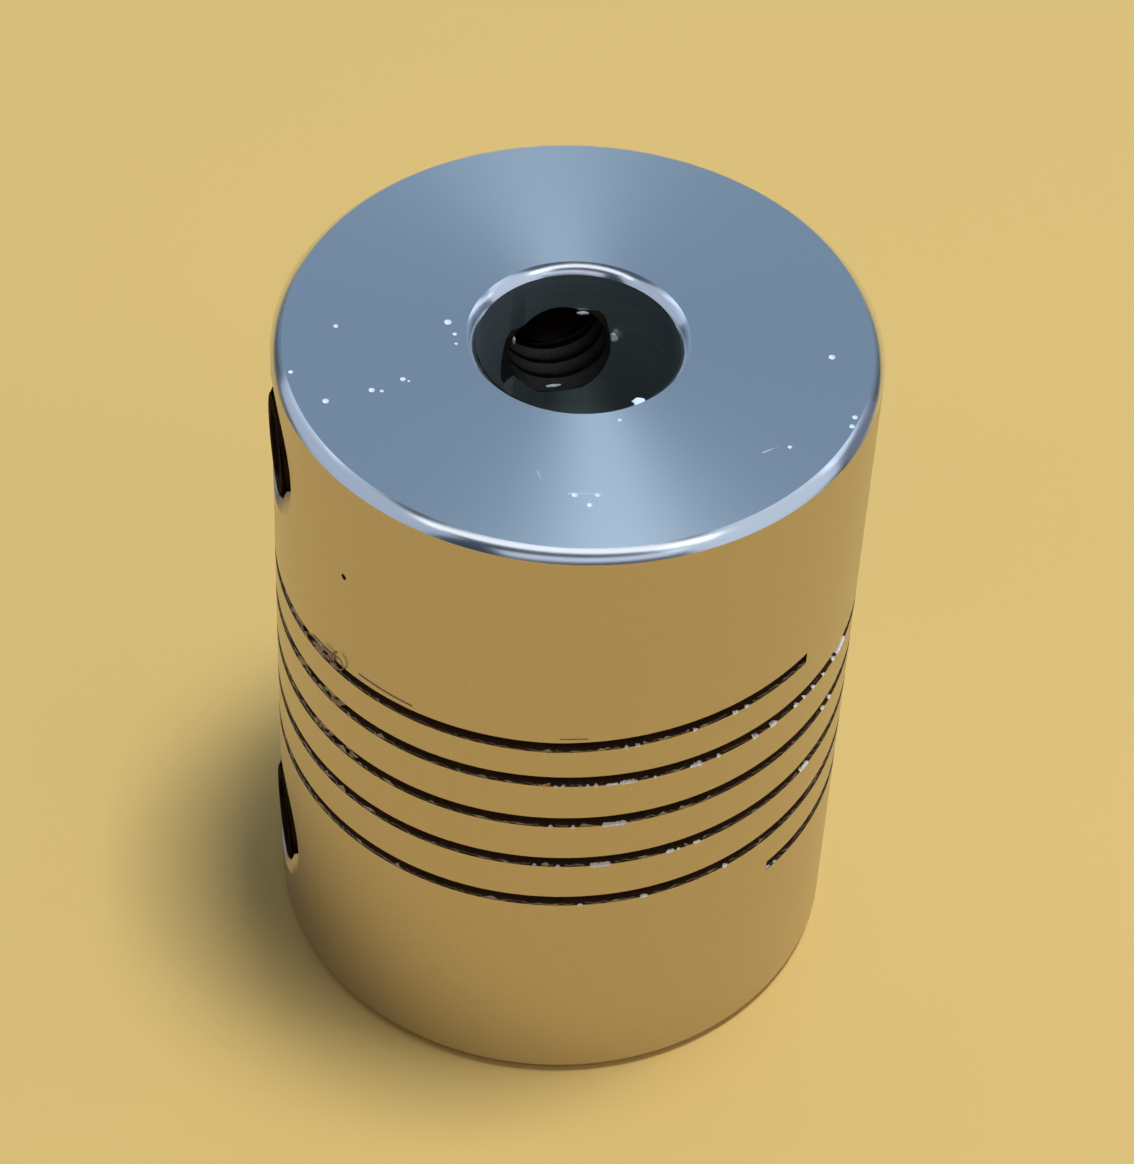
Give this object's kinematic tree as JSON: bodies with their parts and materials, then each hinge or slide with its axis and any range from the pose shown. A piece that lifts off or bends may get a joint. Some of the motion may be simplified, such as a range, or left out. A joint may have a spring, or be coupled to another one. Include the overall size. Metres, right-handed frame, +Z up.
{
  "type": "helical beam coupling",
  "caption": "Flexible shaft coupling: a cylinder slit by one fine helical slot, with a bore in each end and cross-drilled set screws in each hub.",
  "frame": {"origin": "centre of the lower end face, on the shaft axis", "axes": "+Z up the shaft axis from the smaller bore to the larger one, -X out through one row of set screws, +Y out through the other"},
  "size_m": [0.019, 0.019, 0.025],
  "materials": {
    "body_aluminium": "turned, clear anodised satin",
    "screw_steel": "black oxide, lightly oiled"
  },
  "bodies": {
    "body": {"coupling_body": "body_aluminium"},
    "upper_left_screw": {"upper_set_screw_left": "screw_steel"},
    "upper_rear_screw": {"upper_set_screw_rear": "screw_steel"},
    "lower_left_screw": {"lower_set_screw_left": "screw_steel"},
    "lower_rear_screw": {"lower_set_screw_rear": "screw_steel"}
  },
  "joints": [
    {"name": "upper_left_screw_travel", "type": "slide", "parent": "body", "child": "upper_left_screw", "axis": [-1, 0, 0], "range_m": [-0.0014, 0.0028]},
    {"name": "upper_rear_screw_travel", "type": "slide", "parent": "body", "child": "upper_rear_screw", "axis": [0, 1, 0], "range_m": [-0.0014, 0.0028]},
    {"name": "lower_left_screw_travel", "type": "slide", "parent": "body", "child": "lower_left_screw", "axis": [-1, 0, 0], "range_m": [-0.0021, 0.0028]},
    {"name": "lower_rear_screw_travel", "type": "slide", "parent": "body", "child": "lower_rear_screw", "axis": [0, 1, 0], "range_m": [-0.0021, 0.0028]}
  ]
}
